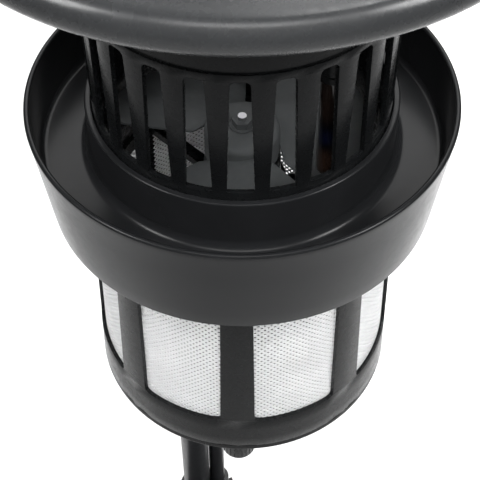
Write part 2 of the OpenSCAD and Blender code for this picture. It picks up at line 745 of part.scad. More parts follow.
module base_screws() color([0.7, 0.7, 0.72]) at_stand()
  for (p = socket_screws)
    translate([p[0], p[1], plate_top_z + 5]) pan_screw(5, 3, 2.7, 12);

module base_plate() color([0.11, 0.12, 0.13]) difference() {
  rotate_extrude($fn = 144)
    polygon(concat(
      [[0, plate_z], [base_r - 1, plate_z], [base_r, plate_z + 1]],
      arc(base_r - plate_edge_r, plate_top_z - plate_edge_r, plate_edge_r, 0, 90, 5),
      [[0, plate_top_z]]
    ));
  ring(weight_r, 20, plate_z - 1, plate_z + 12);
  around(peg_count, 45) translate([peg_pcd / 2, 0, -1]) cylinder(r = peg_r, h = 60, $fn = 48);
  at_stand() for (p = socket_screws)
    translate([p[0], p[1], plate_top_z - 10]) cylinder(r = 2.7, h = 20, $fn = 32);
}

module base_weight() color([0.3, 0.31, 0.32]) ring(weight_r - 0.3, 20.3, plate_z + 0.5, plate_z + 11.9);

module rubber_feet() color([0.05, 0.05, 0.05])
  around(4) translate([base_r - 25, 0, 0]) {
    cylinder(r1 = foot_pad_r - 1.5, r2 = foot_pad_r, h = foot_pad_t);
  }

module power_inlet() color([0.05, 0.05, 0.06]) at_stand()
  translate(inlet_at) difference() {
    cube([12, 24, 24]);
    translate([5, 3.5, 4]) cube([10, 17, 16]);
  }

lid();
lid_underpan();
lid_screws();
hanging_bail();
bail_ears();
head_drum();
lamp_driver();
lamp_socket_front();
lamp_socket_rear();
uv_lamp_front();
uv_lamp_rear();
lamp_base_front();
lamp_base_rear();
switch_housing();
switch_rocker();
entry_cage();
deck_screws();
collar();
fan_housing();
housing_screws();
motor_spider();
fan_motor();
motor_end_cap();
motor_shaft();
fan_rotor();
hub_nut();
basket_frame();
basket_mesh();
basket_door();
door_hinge_pin();
latch_knob();
latch_pawl();
pole_bracket();
bracket_screws();
clamp_knob();
pole();
cable_conduit();
conduit_clips();
base_socket();
base_screws();
base_plate();
base_weight();
rubber_feet();
power_inlet();
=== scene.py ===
# Fan-type ultraviolet insect trap on a pole stand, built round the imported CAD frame.
import json
import math

import bmesh
import bpy
from mathutils import Matrix, Vector


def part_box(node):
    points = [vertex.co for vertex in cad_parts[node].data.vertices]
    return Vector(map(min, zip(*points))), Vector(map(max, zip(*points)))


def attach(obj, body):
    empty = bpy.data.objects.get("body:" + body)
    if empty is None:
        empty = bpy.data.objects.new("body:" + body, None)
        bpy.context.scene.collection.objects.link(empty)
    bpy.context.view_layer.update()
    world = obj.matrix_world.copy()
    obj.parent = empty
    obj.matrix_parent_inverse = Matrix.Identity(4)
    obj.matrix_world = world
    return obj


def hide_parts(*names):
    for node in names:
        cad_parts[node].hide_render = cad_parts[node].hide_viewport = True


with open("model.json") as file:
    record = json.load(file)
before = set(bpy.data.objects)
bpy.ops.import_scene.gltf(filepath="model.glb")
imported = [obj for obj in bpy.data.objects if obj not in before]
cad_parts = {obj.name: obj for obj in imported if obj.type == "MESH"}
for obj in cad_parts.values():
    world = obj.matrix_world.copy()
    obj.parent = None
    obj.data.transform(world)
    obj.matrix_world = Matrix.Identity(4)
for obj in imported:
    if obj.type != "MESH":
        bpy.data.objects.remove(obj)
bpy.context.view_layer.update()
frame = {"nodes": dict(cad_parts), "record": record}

mm = 0.001
scene = bpy.context.scene
collarTop = 5.4  # rounded rim above the rim plane
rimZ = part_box("collar")[1].z - collarTop * mm
print("frame loaded, rim plane at", round(rimZ, 4))


def arc(cx, cy, r, start, end, steps=8):
    points = []
    for i in range(steps + 1):
        a = math.radians(start + (end - start) * i / steps)
        points.append((cx + r * math.cos(a), cy + r * math.sin(a)))
    return points


def onRim(points):
    # radius and height over the rim plane, in millimetres, to metres in the frame
    return [(r * mm, rimZ + h * mm) for r, h in points]


def onGround(points):
    return [(r * mm, z * mm) for r, z in points]


def newPiece(name, verts, faces):
    mesh = bpy.data.meshes.new(name)
    mesh.from_pydata(verts, [], faces)
    piece = bpy.data.objects.new(name, mesh)
    scene.collection.objects.link(piece)
    return piece


def faceOut(piece):
    bm = bmesh.new()
    bm.from_mesh(piece.data)
    bmesh.ops.remove_doubles(bm, verts=bm.verts, dist=1e-7)
    bmesh.ops.recalc_face_normals(bm, faces=bm.faces)
    bm.to_mesh(piece.data)
    bm.free()
    return piece


def soften(piece, angle=32):
    piece.data.shade_smooth()
    piece.data.set_sharp_from_angle(angle=math.radians(angle))
    return piece


def settle(piece):
    # modifiers become plain mesh
    depsgraph = bpy.context.evaluated_depsgraph_get()
    mesh = bpy.data.meshes.new_from_object(piece.evaluated_get(depsgraph), depsgraph=depsgraph)
    piece.modifiers.clear()
    piece.data = mesh
    return piece


def turned(name, profile, steps=160, closed=True, centre=(0, 0), sweep=360):
    # a profile of (radius, z) turned round a vertical axis; radius 0 becomes a pole
    full = sweep >= 360
    count = steps if full else steps + 1
    verts = []
    rows = []
    for r, z in profile:
        if r < 1e-6:
            rows.append([len(verts)] * count)
            verts.append((centre[0], centre[1], z))
            continue
        row = []
        for i in range(count):
            a = math.radians(sweep) * i / steps
            row.append(len(verts))
            verts.append((centre[0] + r * math.cos(a), centre[1] + r * math.sin(a), z))
        rows.append(row)
    faces = []
    pairs = list(zip(rows, rows[1:]))
    if closed:
        pairs.append((rows[-1], rows[0]))
    for low, high in pairs:
        for i in range(steps):
            j = (i + 1) % count
            corners = [low[i], low[j], high[j], high[i]]
            loop = [v for k, v in enumerate(corners) if v != corners[k - 1]]
            if len(loop) > 2:
                faces.append(loop)
    if not full:
        faces.append([row[0] for row in rows])
        faces.append([row[-1] for row in reversed(rows)])
    return soften(faceOut(newPiece(name, verts, faces)))


def bevelled(piece, width, segments=2, angle=35):
    mod = piece.modifiers.new("edge", "BEVEL")
    mod.width = width * mm
    mod.segments = segments
    mod.limit_method = "ANGLE"
    mod.angle_limit = math.radians(angle)
    mod.use_clamp_overlap = True
    return settle(piece)


def walled(piece, wall):
    mod = piece.modifiers.new("wall", "SOLIDIFY")
    mod.thickness = wall * mm
    mod.offset = -1
    mod.use_even_offset = True
    return faceOut(settle(piece))


def moved(piece, matrix):
    piece.data.transform(matrix)
    return piece


def turnedBy(degrees):
    return Matrix.Rotation(math.radians(degrees), 4, "Z")


def joined(name, pieces):
    bm = bmesh.new()
    for piece in pieces:
        bm.from_mesh(piece.data)
        bpy.data.objects.remove(piece)
    mesh = bpy.data.meshes.new(name)
    bm.to_mesh(mesh)
    bm.free()
    whole = bpy.data.objects.new(name, mesh)
    scene.collection.objects.link(whole)
    return soften(whole)


def finished(piece, body, slot, material, *nodes):
    piece.data.materials.clear()
    piece.data.materials.append(material)
    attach(piece, body)
    if nodes:
        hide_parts(*nodes)
    return piece


finishes = {
    "lidPlastic": {"color": (0.032, 0.0335, 0.035), "rough": 0.27, "shine": 0.6,
                   "grain": 1400, "depth": 0.04, "mottle": 0.05},
    "satinBlack": {"color": (0.007, 0.0075, 0.008), "rough": 0.27, "shine": 0.2,
                   "grain": 1500, "depth": 0.05, "mottle": 0.15},
    "glossBlack": {"color": (0.013, 0.0135, 0.0145), "rough": 0.22, "shine": 0.22,
                   "grain": 900, "depth": 0.03, "mottle": 0.12},
    "fanGrey": {"color": (0.075, 0.08, 0.082), "rough": 0.6,
                "grain": 1100, "depth": 0.12, "mottle": 0.1},
    "meshSilver": {"color": (0.9, 0.905, 0.91), "rough": 0.42, "metal": 0.1,
                   "grain": 2200, "depth": 0.1, "mottle": 0.06},
    "driverCase": {"color": (0.72, 0.72, 0.7), "rough": 0.5,
                   "grain": 900, "depth": 0.1, "mottle": 0.06},
    "rockerRed": {"color": (0.35, 0.02, 0.015), "rough": 0.3,
                  "grain": 1200, "depth": 0.05, "mottle": 0.08},
    "screwSteel": {"color": (0.55, 0.55, 0.57), "rough": 0.3, "metal": 1.0,
                   "grain": 1800, "depth": 0.1, "mottle": 0.12},
    "motorSteel": {"color": (0.42, 0.43, 0.44), "rough": 0.38, "metal": 1.0,
                   "grain": 1500, "depth": 0.1, "mottle": 0.14},
    "brightWire": {"color": (0.62, 0.63, 0.64), "rough": 0.24, "metal": 1.0,
                   "grain": 1600, "depth": 0.06, "mottle": 0.1},
    "polePaint": {"color": (0.012, 0.0125, 0.014), "rough": 0.35,
                  "grain": 1300, "depth": 0.16, "mottle": 0.14},
    "weightIron": {"color": (0.06, 0.058, 0.056), "rough": 0.7, "metal": 0.6,
                   "grain": 500, "depth": 0.4, "mottle": 0.3},
    "footRubber": {"color": (0.012, 0.012, 0.012), "rough": 0.75,
                   "grain": 1200, "depth": 0.2, "mottle": 0.2},
}

surface = {"mottleScale": 26.0, "streakScale": 190.0, "low": 0.3, "high": 0.7, "smoother": 0.88,
           "rougher": 1.14, "bumpDepth": 0.0004}


def node(tree, kind, place, **values):
    made = tree.nodes.new(kind)
    made.location = place
    for key, value in values.items():
        made.inputs[key].default_value = value
    return made


def finishMaterial(name, look):
    mat = bpy.data.materials.new(name)
    mat.use_nodes = True
    tree = mat.node_tree
    tree.nodes.clear()
    out = node(tree, "ShaderNodeOutputMaterial", (700, 0))
    shader = node(tree, "ShaderNodeBsdfPrincipled", (400, 0))
    coords = node(tree, "ShaderNodeTexCoord", (-900, 0))
    grain = node(tree, "ShaderNodeTexNoise", (-600, -300), Scale=look["grain"], Detail=3.0)
    mottle = node(tree, "ShaderNodeTexNoise", (-600, 0), Scale=surface["mottleScale"],
                  Detail=5.0, Roughness=0.6)
    streak = node(tree, "ShaderNodeTexNoise", (-600, 300), Scale=surface["streakScale"], Detail=2.0)
    for texture in (grain, mottle, streak):
        tree.links.new(coords.outputs["Object"], texture.inputs["Vector"])
    tint = node(tree, "ShaderNodeValToRGB", (-300, 100))
    spread = look["mottle"]
    tint.color_ramp.elements[0].position = surface["low"]
    tint.color_ramp.elements[1].position = surface["high"]
    tint.color_ramp.elements[0].color = (*[c * (1 - spread) for c in look["color"]], 1)
    tint.color_ramp.elements[1].color = (*[min(1, c * (1 + spread)) for c in look["color"]], 1)
    tree.links.new(mottle.outputs["Fac"], tint.inputs["Fac"])
    tree.links.new(tint.outputs["Color"], shader.inputs["Base Color"])
    sheen = node(tree, "ShaderNodeMapRange", (-300, 300))
    sheen.inputs["From Min"].default_value = surface["low"]
    sheen.inputs["From Max"].default_value = surface["high"]
    sheen.inputs["To Min"].default_value = look["rough"] * surface["smoother"]
    sheen.inputs["To Max"].default_value = min(1, look["rough"] * surface["rougher"])
    tree.links.new(streak.outputs["Fac"], sheen.inputs["Value"])
    tree.links.new(sheen.outputs["Result"], shader.inputs["Roughness"])
    bump = node(tree, "ShaderNodeBump", (100, -300), Strength=look["depth"], Distance=surface["bumpDepth"])
    tree.links.new(grain.outputs["Fac"], bump.inputs["Height"])
    tree.links.new(bump.outputs["Normal"], shader.inputs["Normal"])
    shader.inputs["Metallic"].default_value = look.get("metal", 0.0)
    shader.inputs["Specular IOR Level"].default_value = look.get("shine", 0.5)
    tree.links.new(shader.outputs["BSDF"], out.inputs["Surface"])
    return mat


def lampGlassMaterial(name, foot, head):
    # dark glass coloured by height: brown at the foot and the head, near-black with a navy band in the middle
    mat = bpy.data.materials.new(name)
    mat.use_nodes = True
    tree = mat.node_tree
    tree.nodes.clear()
    out = node(tree, "ShaderNodeOutputMaterial", (700, 0))
    shader = node(tree, "ShaderNodeBsdfPrincipled", (400, 0))
    coords = node(tree, "ShaderNodeTexCoord", (-900, 0))
    axes = node(tree, "ShaderNodeSeparateXYZ", (-700, 0))
    height = node(tree, "ShaderNodeMapRange", (-500, 0))
    height.inputs["From Min"].default_value = foot
    height.inputs["From Max"].default_value = head
    cloud = node(tree, "ShaderNodeTexNoise", (-700, -300), Scale=60.0, Detail=4.0)
    shift = node(tree, "ShaderNodeMath", (-300, -100))
    shift.operation = "MULTIPLY_ADD"
    shift.inputs[1].default_value = 0.09
    ramp = node(tree, "ShaderNodeValToRGB", (0, 0))
    bands = [(0.0, (0.016, 0.009, 0.006)), (0.3, (0.02, 0.011, 0.008)), (0.4, (0.002, 0.002, 0.003)),
             (0.48, (0.003, 0.004, 0.016)), (0.6, (0.002, 0.002, 0.003)), (0.72, (0.013, 0.008, 0.006)),
             (1.0, (0.02, 0.014, 0.012))]
    elements = ramp.color_ramp.elements
    elements[0].position = bands[0][0]
    elements[0].color = (*bands[0][1], 1)
    elements[1].position = bands[-1][0]
    elements[1].color = (*bands[-1][1], 1)
    for place, color in bands[1:-1]:
        elements.new(place).color = (*color, 1)
    tree.links.new(coords.outputs["Object"], axes.inputs["Vector"])
    tree.links.new(coords.outputs["Object"], cloud.inputs["Vector"])
    tree.links.new(axes.outputs["Z"], height.inputs["Value"])
    tree.links.new(cloud.outputs["Fac"], shift.inputs[0])
    tree.links.new(height.outputs["Result"], shift.inputs[2])
    tree.links.new(shift.outputs["Value"], ramp.inputs["Fac"])
    tree.links.new(ramp.outputs["Color"], shader.inputs["Base Color"])
    shader.inputs["Roughness"].default_value = 0.08
    shader.inputs["Coat Weight"].default_value = 0.6
    shader.inputs["Coat Roughness"].default_value = 0.04
    bump = node(tree, "ShaderNodeBump", (100, -300), Strength=0.04, Distance=surface["bumpDepth"])
    tree.links.new(cloud.outputs["Fac"], bump.inputs["Height"])
    tree.links.new(bump.outputs["Normal"], shader.inputs["Normal"])
    tree.links.new(shader.outputs["BSDF"], out.inputs["Surface"])
    return mat


materials = {name: finishMaterial(name, look) for name, look in finishes.items()}
lampLow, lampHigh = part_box("uv_lamp_front")
materials["lampGlass"] = lampGlassMaterial("lampGlass", lampLow.z, lampHigh.z)

slotFinish = {
    "lid_plastic": "lidPlastic", "black_plastic": "satinBlack", "gloss_black": "glossBlack",
    "fan_grey": "fanGrey", "mesh_silver": "meshSilver", "lamp_glass": "lampGlass",
    "driver_case": "driverCase", "rocker_red": "rockerRed",
    "screw_steel": "screwSteel", "motor_steel": "motorSteel", "bright_wire": "brightWire",
    "pole_paint": "polePaint", "weight_iron": "weightIron", "foot_rubber": "footRubber",
}
for part in frame["record"]["subparts"]:
    cadPiece = frame["nodes"][part["node"]]
    for holder in cadPiece.material_slots:
        holder.material = materials[slotFinish[part["material_slot"]]]
print("finishes ready:", len(materials))


def link(tree, source, output, target, inlet):
    tree.links.new(source.outputs[output], target.inputs[inlet])


def aroundTree():
    # turns one piece into a ring of copies round the trap's axis
    tree = bpy.data.node_groups.new("turnAroundAxis", "GeometryNodeTree")
    face = tree.interface
    face.new_socket("Geometry", in_out="INPUT", socket_type="NodeSocketGeometry")
    face.new_socket("Count", in_out="INPUT", socket_type="NodeSocketInt")
    face.new_socket("Start Angle", in_out="INPUT", socket_type="NodeSocketFloat")
    face.new_socket("Weld Distance", in_out="INPUT", socket_type="NodeSocketFloat")
    face.new_socket("Material", in_out="INPUT", socket_type="NodeSocketMaterial")
    face.new_socket("Geometry", in_out="OUTPUT", socket_type="NodeSocketGeometry")
    inlet = node(tree, "NodeGroupInput", (-900, 0))
    out = node(tree, "NodeGroupOutput", (900, 0))
    points = node(tree, "GeometryNodePoints", (-600, 200))
    place = node(tree, "GeometryNodeInputIndex", (-900, -300))
    step = node(tree, "ShaderNodeMath", (-600, -100))
    step.operation = "DIVIDE"
    step.inputs[0].default_value = 2 * math.pi
    turn = node(tree, "ShaderNodeMath", (-400, -200))
    turn.operation = "MULTIPLY_ADD"
    axis = node(tree, "ShaderNodeCombineXYZ", (-200, -200))
    copies = node(tree, "GeometryNodeInstanceOnPoints", (0, 0))
    whole = node(tree, "GeometryNodeRealizeInstances", (200, 0))
    weld = node(tree, "GeometryNodeMergeByDistance", (400, 0))
    paint = node(tree, "GeometryNodeSetMaterial", (650, 0))
    link(tree, inlet, "Count", points, "Count")
    link(tree, inlet, "Count", step, 1)
    link(tree, place, 0, turn, 0)
    link(tree, step, 0, turn, 1)
    link(tree, inlet, "Start Angle", turn, 2)
    link(tree, turn, 0, axis, "Z")
    link(tree, points, 0, copies, "Points")
    link(tree, inlet, "Geometry", copies, "Instance")
    link(tree, axis, 0, copies, "Rotation")
    link(tree, copies, 0, whole, 0)
    link(tree, whole, 0, weld, "Geometry")
    link(tree, inlet, "Weld Distance", weld, "Distance")
    link(tree, weld, 0, paint, "Geometry")
    link(tree, inlet, "Material", paint, "Material")
    link(tree, paint, 0, out, 0)
    return tree


def latticeTree():
    # staggered rows of one cell, flat in X and Z
    tree = bpy.data.node_groups.new("staggeredMesh", "GeometryNodeTree")
    face = tree.interface
    face.new_socket("Geometry", in_out="INPUT", socket_type="NodeSocketGeometry")
    face.new_socket("Columns", in_out="INPUT", socket_type="NodeSocketInt")
    face.new_socket("Rows", in_out="INPUT", socket_type="NodeSocketInt")
    face.new_socket("Pitch", in_out="INPUT", socket_type="NodeSocketFloat")
    face.new_socket("Material", in_out="INPUT", socket_type="NodeSocketMaterial")
    face.new_socket("Geometry", in_out="OUTPUT", socket_type="NodeSocketGeometry")
    inlet = node(tree, "NodeGroupInput", (-1200, 0))
    out = node(tree, "NodeGroupOutput", (1200, 0))
    both = node(tree, "GeometryNodeJoinGeometry", (100, 200))
    for less, height in ((0, 300), (1, -200)):
        columns = node(tree, "ShaderNodeMath", (-900, height))
        columns.operation = "SUBTRACT"
        columns.inputs[1].default_value = less
        rows = node(tree, "ShaderNodeMath", (-900, height - 150))
        rows.operation = "SUBTRACT"
        rows.inputs[1].default_value = less
        link(tree, inlet, "Columns", columns, 0)
        link(tree, inlet, "Rows", rows, 0)
        sides = []
        for counted in (columns, rows):
            gaps = node(tree, "ShaderNodeMath", (-700, height))
            gaps.operation = "SUBTRACT"
            gaps.inputs[1].default_value = 1
            size = node(tree, "ShaderNodeMath", (-500, height))
            size.operation = "MULTIPLY"
            link(tree, counted, 0, gaps, 0)
            link(tree, gaps, 0, size, 0)
            link(tree, inlet, "Pitch", size, 1)
            sides.append(size)
        grid = node(tree, "GeometryNodeMeshGrid", (-200, height))
        link(tree, columns, 0, grid, "Vertices X")
        link(tree, rows, 0, grid, "Vertices Y")
        link(tree, sides[0], 0, grid, "Size X")
        link(tree, sides[1], 0, grid, "Size Y")
        link(tree, grid, "Mesh", both, 0)
    upright = node(tree, "GeometryNodeTransform", (300, 200))
    upright.inputs["Rotation"].default_value = (math.pi / 2, 0, 0)
    copies = node(tree, "GeometryNodeInstanceOnPoints", (500, 0))
    whole = node(tree, "GeometryNodeRealizeInstances", (700, 0))
    weld = node(tree, "GeometryNodeMergeByDistance", (850, 0), Distance=0.00002)
    paint = node(tree, "GeometryNodeSetMaterial", (1000, 0))
    link(tree, both, 0, upright, 0)
    link(tree, upright, 0, copies, "Points")
    link(tree, inlet, "Geometry", copies, "Instance")
    link(tree, copies, 0, whole, 0)
    link(tree, whole, 0, weld, "Geometry")
    link(tree, weld, 0, paint, "Geometry")
    link(tree, inlet, "Material", paint, "Material")
    link(tree, paint, 0, out, 0)
    return tree


def grown(piece, tree, **values):
    # runs a tree on a piece and keeps the result as plain mesh
    mod = piece.modifiers.new(tree.name, "NODES")
    mod.node_group = tree
    for item in tree.interface.items_tree:
        key = item.name.replace(" ", "")
        if item.in_out == "INPUT" and key in values:
            mod[item.identifier] = values[key]
    return settle(piece)


around = aroundTree()
lattice = latticeTree()


def ringOf(piece, count, start, material, weld=0.0):
    return grown(piece, around, Count=count, StartAngle=math.radians(start),
                 WeldDistance=weld, Material=materials[material])


def piercedPanel(name, radiusAt, halfAngle, below, opening, above, middle):
    # one sector of a wall with a hole in it; opening rows are (height, half width)
    verts = []

    def put(h, angle):
        r = radiusAt(h) * mm
        verts.append((r * math.cos(angle), r * math.sin(angle), rimZ + h * mm))
        return len(verts) - 1

    def fullRow(h, halfWidth):
        a = math.asin(halfWidth / radiusAt(h))
        angles = [-halfAngle] + [a * (2 * i / middle - 1) for i in range(middle + 1)] + [halfAngle]
        return [put(h, angle) for angle in angles]

    def splitRow(h, halfWidth):
        a = math.asin(halfWidth / radiusAt(h))
        return [put(h, angle) for angle in (-halfAngle, -a, a, halfAngle)]

    foot, head = opening[0], opening[-1]
    lower = [fullRow(h, foot[1]) for h in below] + [fullRow(*foot)]
    upper = [fullRow(*head)] + [fullRow(h, head[1]) for h in above]
    sides = [lower[-1]] + [splitRow(*row) for row in opening[1:-1]] + [upper[0]]
    faces = []
    for rows in (lower, upper):
        for low, high in zip(rows, rows[1:]):
            for i in range(len(low) - 1):
                faces.append((low[i], low[i + 1], high[i + 1], high[i]))
    for low, high in zip(sides, sides[1:]):
        faces.append((low[0], low[1], high[1], high[0]))
        faces.append((low[-2], low[-1], high[-1], high[-2]))
    return newPiece(name, verts, faces)


lid = {"rimRadius": 169, "edgeHeight": 192.5, "edgeRadius": 11, "rise": 17, "wall": 3,
       "panHeight": 181.5, "crestShare": 0.98, "segments": 224}


def lidPiece():
    edgeTop = lid["edgeHeight"] + lid["edgeRadius"] * lid["crestShare"]
    top = edgeTop + lid["rise"]
    dome = (lid["rimRadius"] ** 2 + lid["rise"] ** 2) / (2 * lid["rise"])
    tilt = math.degrees(math.asin(lid["rimRadius"] / dome))

    def domePath(shrink, steps=18):
        path = []
        for i in range(steps + 1):
            a = math.radians(tilt) * i / steps
            path.append(((dome - shrink) * math.sin(a), top - dome + (dome - shrink) * math.cos(a)))
        return path

    inner = lid["edgeRadius"] - lid["wall"]
    seat = lid["rimRadius"] - lid["wall"]
    profile = domePath(0)
    profile += arc(lid["rimRadius"], lid["edgeHeight"], lid["edgeRadius"], 90 - tilt, -90, 24)[1:]
    profile += [(seat, lid["panHeight"]), (seat, lid["panHeight"] + lid["wall"])]
    profile += arc(lid["rimRadius"], lid["edgeHeight"], inner, -90, 90 - tilt, 20)
    profile += domePath(lid["wall"])[-2::-1]
    return turned("rainLid", onRim(profile), lid["segments"], closed=False)


finished(lidPiece(), "trap", "lid_plastic", materials["lidPlastic"], "lid")

underpan = {"outer": 165.8, "hole": 84, "flat": 14, "height": 181.5, "thick": 2.5, "edge": 0.6,
            "rings": (118, 134, 150), "ringRise": 0.9, "ringSlope": 1.2, "ringFlat": 2, "neckWall": 1.2,
            "neckHeight": 7, "segments": 192}


def underpanPiece():
    h0, hole, outer, edge = (underpan[key] for key in ("height", "hole", "outer", "edge"))
    slope, flat = underpan["ringSlope"], underpan["ringFlat"]
    crest = h0 + underpan["ringRise"]
    profile = [(hole, h0), (hole + underpan["flat"], h0)]
    for r in underpan["rings"]:  # shallow pressed rings
        profile += [(r, h0), (r + slope, crest), (r + slope + flat, crest), (r + 2 * slope + flat, h0)]
    profile += [(outer - edge, h0), (outer, h0 + edge), (outer, h0 + underpan["thick"])]
    neck = hole + underpan["neckWall"]
    neckTop = h0 + underpan["neckHeight"]
    profile += [(neck, h0 + underpan["thick"]), (neck, neckTop), (hole, neckTop)]
    return turned("lidUnderpan", onRim(profile), underpan["segments"])


finished(underpanPiece(), "trap", "black_plastic", materials["satinBlack"], "lid_underpan")
print("lid done")

seamWeld = 0.00001  # in metres, closes the seams between neighbouring sectors
cage = {"radius": 98, "wall": 3.2, "foot": -36.6, "head": 103.6, "rowsBelow": (-20, -4), "slots": 24,
        "turn": -0.6, "slotFoot": 11.5, "slotHead": 98.7, "footWidth": 17, "headWidth": 12,
        "round": 3.5, "edge": 0.5}


def cagePiece():
    straightTop = cage["slotHead"] - cage["round"]
    rows = []
    steps = 8
    for i in range(steps + 1):
        share = i / steps
        h = cage["slotFoot"] + (straightTop - cage["slotFoot"]) * share
        rows.append((h, (cage["footWidth"] + (cage["headWidth"] - cage["footWidth"]) * share) / 2))
    corner = arc(cage["headWidth"] / 2 - cage["round"], straightTop, cage["round"], 0, 90, 7)
    rows += [(h, w) for w, h in corner[1:]]
    below = [cage["foot"], *cage["rowsBelow"]]
    above = [cage["head"]]
    sector = math.pi / cage["slots"]
    panel = piercedPanel("entryCage", lambda h: cage["radius"], sector, below, rows, above, 4)
    ringOf(panel, cage["slots"], cage["turn"] - 90, "satinBlack", seamWeld)
    walled(panel, cage["wall"])
    return soften(bevelled(panel, cage["edge"], 2, 40))


finished(cagePiece(), "trap", "black_plastic", materials["satinBlack"], "entry_cage")
print("cage done")

collar = {"rim": 142.2, "skirt": 134, "skirtFoot": -73.5, "wall": 3, "floor": -33.6, "neck": 102.9,
          "bore": 98.4, "neckTop": 6, "floorFillet": 7, "cornerFillet": 4, "rimInset": 0.6,
          "lipExtra": 0.4, "footRound": 0.8, "neckRound": 1.4, "boreRound": 1,
          "rowsOutside": (-60, -40, -20, 0), "rowsInside": (0, -14, -26), "segments": 240}


def collarPiece():
    wall, floor, fillet = collar["wall"], collar["floor"], collar["cornerFillet"]
    lip = wall / 2 + collar["lipExtra"]

    def skirtAt(h):
        flare = collar["rim"] - collar["rimInset"] - collar["skirt"]
        return collar["skirt"] + flare * (h / -collar["skirtFoot"] + 1)

    inner = skirtAt(floor) - wall
    foot, neck, bore = collar["footRound"], collar["neckRound"], collar["boreRound"]
    profile = [(collar["skirt"] - wall, collar["skirtFoot"])]
    profile += arc(collar["skirt"] - foot, collar["skirtFoot"] + foot, foot, -90, 0, 4)
    profile += [(skirtAt(h), h) for h in collar["rowsOutside"]]
    profile += arc(collar["rim"] - lip, collarTop - lip, lip, 0, 180, 16)
    profile += [(skirtAt(h) - wall, h) for h in collar["rowsInside"]]
    profile += arc(inner - fillet, floor + fillet, fillet, 0, -90, 8)
    profile += arc(collar["neck"] + collar["floorFillet"], floor + collar["floorFillet"],
                   collar["floorFillet"], -90, -180, 10)
    profile += arc(collar["neck"] - neck, collar["neckTop"] - neck, neck, 0, 90, 6)
    profile += arc(collar["bore"] + bore, collar["neckTop"] - bore, bore, 90, 180, 5)
    under = floor - wall
    profile += [(collar["bore"], under), (inner - wall, under)]
    profile += [(skirtAt(under - 2 * wall) - wall, under - 2 * wall)]
    return turned("collarTray", onRim(profile), collar["segments"])


finished(collarPiece(), "trap", "gloss_black", materials["glossBlack"], "collar")
print("collar done")

fan = {"tip": 91, "hub": 26, "middle": -40, "blades": 3, "turn": 15, "pitch": 16, "rootChord": 50,
       "tipChord": 130, "taper": 0.85, "camber": 2.0, "thick": 2.2, "edge": 0.7, "rootDepth": 3}


def bladePiece():
    # a broad cambered sheet cut round at its tip, set at its pitch on the hub
    verts, faces = [], []
    across, along = 16, 14
    root = fan["hub"] - fan["rootDepth"]
    pitch = math.radians(fan["pitch"])
    for i in range(along + 1):
        share = i / along
        widening = math.sin(share * math.pi / 2) ** fan["taper"]
        chord = fan["rootChord"] + (fan["tipChord"] - fan["rootChord"]) * widening
        for j in range(across + 1):
            s = chord * (j / across - 0.5)
            y = s * math.cos(pitch)
            x = root + (math.sqrt(fan["tip"] ** 2 - y ** 2) - root) * share
            rise = fan["camber"] * (1 - (2 * j / across - 1) ** 2)
            h = fan["middle"] + s * math.sin(pitch) + rise
            verts.append((x * mm, y * mm, rimZ + h * mm))
    row = across + 1
    for i in range(along):
        for j in range(across):
            faces.append((i * row + j, (i + 1) * row + j, (i + 1) * row + j + 1, i * row + j + 1))
    blade = newPiece("fanBlade", verts, faces)
    mod = blade.modifiers.new("thickness", "SOLIDIFY")
    mod.thickness = fan["thick"] * mm
    mod.offset = 0
    faceOut(settle(blade))
    bevelled(blade, fan["edge"], 2, 50)
    return ringOf(blade, fan["blades"], fan["turn"], "fanGrey")


# heights are over the middle of the blades
hub = {"bore": 3, "wall": 3, "web": -3, "foot": -11, "edge": 0.5, "shoulder": 8, "round": 4,
       "crown": 13, "crownInset": 5, "seat": 9.5, "seatHeight": 12.4, "segments": 96}


def hubPiece():
    middle, r = fan["middle"], fan["hub"]
    inner, web, foot, edge = r - hub["wall"], middle + hub["web"], middle + hub["foot"], hub["edge"]
    shoulder, crown, seat = middle + hub["shoulder"], middle + hub["crown"], middle + hub["seatHeight"]
    profile = [(hub["bore"], web), (inner, web), (inner, foot), (r - edge, foot),
               (r, foot + edge), (r, shoulder)]
    profile += arc(r - hub["round"], shoulder, hub["round"], 0, 60, 5)
    profile += [(r - hub["crownInset"], crown), (hub["seat"], crown)]
    profile += [(hub["seat"], seat), (hub["bore"], seat)]
    return turned("fanHub", onRim(profile), hub["segments"])


finished(joined("fanRotor", [bladePiece(), hubPiece()]), "fan", "fan_grey", materials["fanGrey"], "fan_rotor")
print("fan done")

lamp = {"radius": 7.8, "tip": -8, "neck": 74, "rows": (8, 20, 34, 48, 62, 70), "shoulder": 1.5,
        "places": {"front": (53, -62), "rear": (-53, 62)}, "segments": 48}
lampBase = {"radius": 10, "top": 98.6, "flange": 2, "flangeHeight": 5, "edge": 0.6, "plain": 9,
            "grooves": 3, "firstGroove": 11, "grooveStep": 3, "grooveWidth": 2, "grooveDepth": 0.5}


def lampTube(name, centre):
    r, shoulder = lamp["radius"], lamp["shoulder"]
    glass = arc(0, lamp["tip"] + r, r, -90, 0, 12)
    glass += [(r, h) for h in lamp["rows"]]
    glass += arc(r - shoulder, lamp["neck"] - shoulder, shoulder, 0, 90, 4)
    glass += [(0, lamp["neck"])]
    return turned("lampTube_" + name, onRim(glass), lamp["segments"], closed=False, centre=centre)


